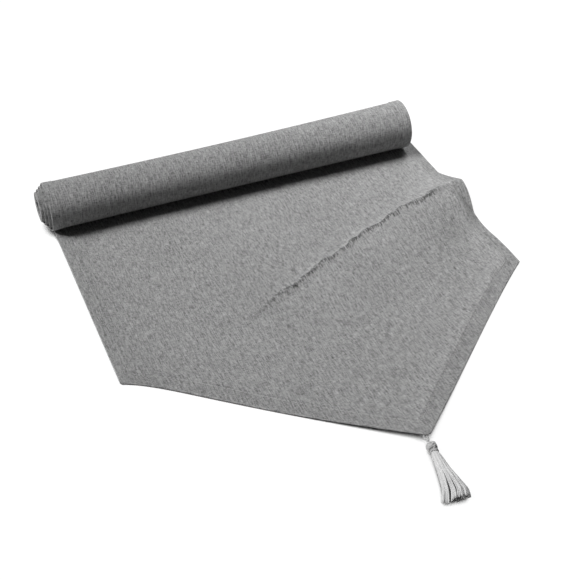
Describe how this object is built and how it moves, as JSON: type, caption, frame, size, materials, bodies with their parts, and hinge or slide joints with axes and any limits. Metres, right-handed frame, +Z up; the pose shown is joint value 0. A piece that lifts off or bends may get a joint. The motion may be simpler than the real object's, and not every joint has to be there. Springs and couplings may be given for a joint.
{
  "type": "table runner",
  "caption": "Grey woven table runner with pointed hemmed ends and a tassel, laid out at the front and rolled up at the back.",
  "frame": {"origin": "middle of the runner's overall box, on the table it lies on", "axes": "+Z up from the table; +X across the runner, along the roll; +Y from the front tassel towards the roll"},
  "size_m": [0.339, 0.407, 0.0444],
  "materials": {
    "cloth": "slubby plain weave, matt, mid grey",
    "hem": "the same cloth folded under twice",
    "thread": "spun sewing thread, matt",
    "cord": "twisted cord, slight sheen",
    "tassel": "silky twisted strands, light grey"
  },
  "bodies": {
    "cloth": {"rolled_panel": "cloth", "laid_panel": "cloth", "side_hem_left": "hem", "side_hem_right": "hem", "roll_hem_left": "hem", "roll_hem_right": "hem", "side_seam_left": "thread", "side_seam_right": "thread", "roll_seam_left": "thread", "roll_seam_right": "thread", "far_tassel_loop": "cord", "far_tassel_head": "tassel", "far_tassel_binding": "tassel", "far_tassel_skirt": "tassel"},
    "point": {"point_panel": "cloth", "point_hem_left": "hem", "point_hem_right": "hem", "point_seam_left": "thread", "point_seam_right": "thread"},
    "loop": {"tassel_loop": "cord"},
    "tassel": {"tassel_head": "tassel", "tassel_binding": "tassel", "tassel_skirt": "tassel"}
  },
  "joints": [
    {"name": "point_fold", "type": "hinge", "parent": "cloth", "child": "point", "pos_m": [0.00449, -0.01239, 0.0011], "axis": [-0.9996, -0.0282, 0], "range_deg": [-90, 120]},
    {"name": "loop_swing", "type": "hinge", "parent": "point", "child": "loop", "pos_m": [0.01192, -0.14474, 0.00381], "axis": [0, 0, 1], "range_deg": [-45, 45]},
    {"name": "tassel_lift", "type": "hinge", "parent": "loop", "child": "tassel", "pos_m": [0.01109, -0.15038, 0.0045], "axis": [-0.9893, 0.1461, 0], "range_deg": [-90, 90]}
  ]
}
